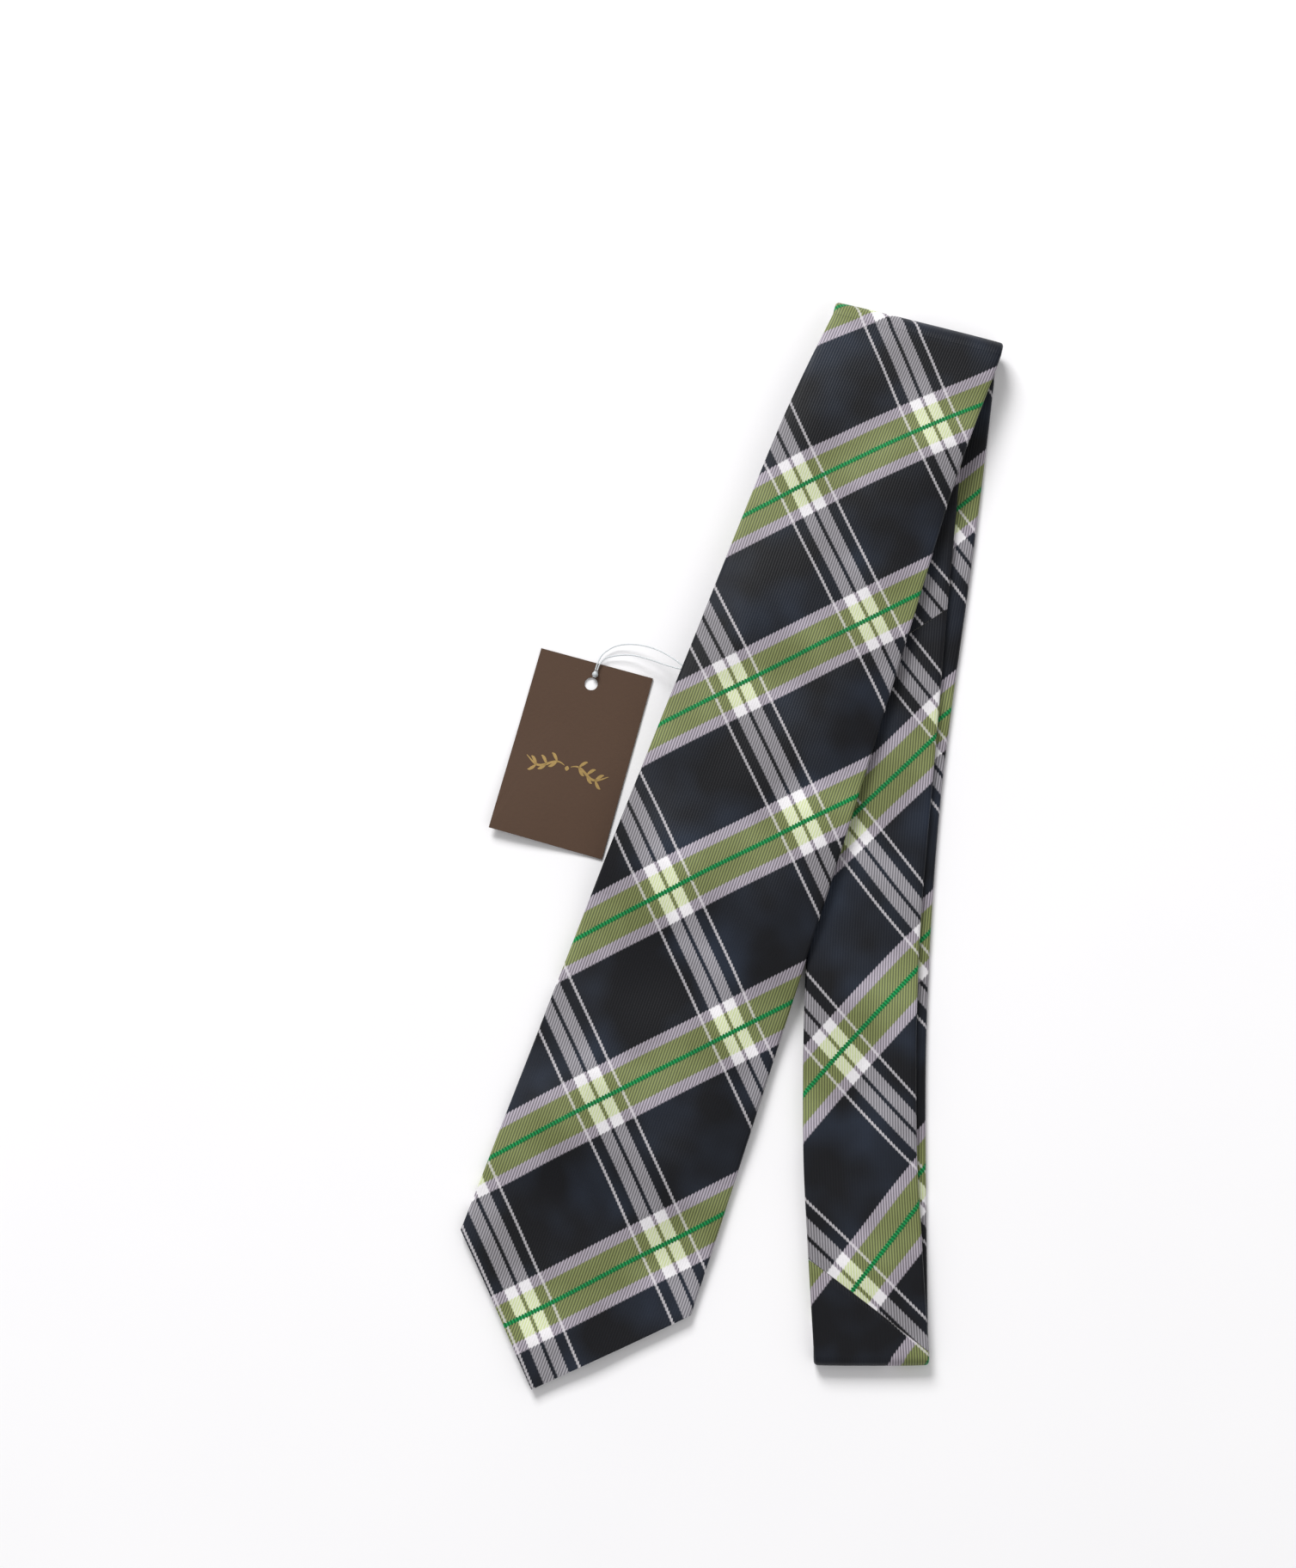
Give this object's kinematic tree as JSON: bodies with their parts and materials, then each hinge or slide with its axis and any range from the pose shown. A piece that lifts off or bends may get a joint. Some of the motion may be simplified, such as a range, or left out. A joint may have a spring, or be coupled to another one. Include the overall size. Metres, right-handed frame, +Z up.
{
  "type": "necktie",
  "caption": "Navy windowpane-plaid necktie of bias-cut twill, folded in four and laid flat, with a brown card hang tag on a clear nylon loop.",
  "frame": {"origin": "middle of the folded tie's box, on the surface it lies on", "axes": "+Y along the folded tie towards the quarter fold, +X to the neck side, +Z up through the stack of layers"},
  "size_m": [0.1987, 0.3976, 0.0127],
  "materials": {
    "tie_cloth": "navy twill with a white and green windowpane check, soft sheen",
    "interlining_felt": "brushed wool interlining",
    "tipping_satin": "plain dark lining, soft sheen",
    "thread": "twisted thread",
    "label_satin": "plain woven ribbon",
    "tag_card": "matt brown card",
    "gold_print": "gold printed ornament",
    "nylon": "clear nylon"
  },
  "bodies": {
    "lower_half": {"blade_shell_lower": "tie_cloth", "blade_interlining_lower": "interlining_felt", "neck_shell": "tie_cloth", "blade_shell_end": "tie_cloth", "neck_interlining": "interlining_felt", "tail_shell_lower": "tie_cloth", "blade_fold_shell": "tie_cloth", "blade_fold_interlining": "interlining_felt", "tail_fold_shell": "tie_cloth", "tail_fold_interlining": "interlining_felt", "neck_fold_shell": "tie_cloth", "neck_fold_interlining": "interlining_felt", "slip_stitch_lower": "thread", "slip_stitch_neck": "thread"},
    "upper_half": {"blade_shell_upper": "tie_cloth", "blade_interlining_upper": "interlining_felt", "tail_shell_upper": "tie_cloth", "tail_interlining_upper": "interlining_felt", "blade_tipping": "tipping_satin", "tail_tipping": "tipping_satin", "blade_tip_hem": "tie_cloth", "tail_tip_hem": "tie_cloth", "slip_stitch_blade": "thread", "slip_stitch_tail": "thread", "bar_tack_blade": "thread", "bar_tack_tail": "thread", "care_label": "label_satin", "keeper_loop": "tie_cloth"},
    "tag_loop": {"tag_string": "nylon"},
    "hang_tag": {"tag_card": "tag_card", "tag_ornament": "gold_print", "tag_lock": "nylon"}
  },
  "joints": [
    {"name": "quarter_fold", "type": "hinge", "parent": "lower_half", "child": "upper_half", "pos_m": [0.0669, 0.18484, 0.00635], "axis": [-0.9679, 0.2512, 0], "range_deg": [0, 180], "deforming": ["blade_fold_shell", "blade_fold_interlining", "tail_fold_shell", "tail_fold_interlining"]},
    {"name": "loop_swing", "type": "hinge", "parent": "upper_half", "child": "tag_loop", "pos_m": [-0.0198, 0.05905, 0.0094], "axis": [0, 0, 1], "range_deg": [-75, 0]},
    {"name": "tag_lift", "type": "hinge", "parent": "tag_loop", "child": "hang_tag", "pos_m": [-0.0515, 0.06278, 0], "axis": [-0.9636, 0.2672, 0], "range_deg": [0, 120], "deforming": ["tag_string"]}
  ]
}
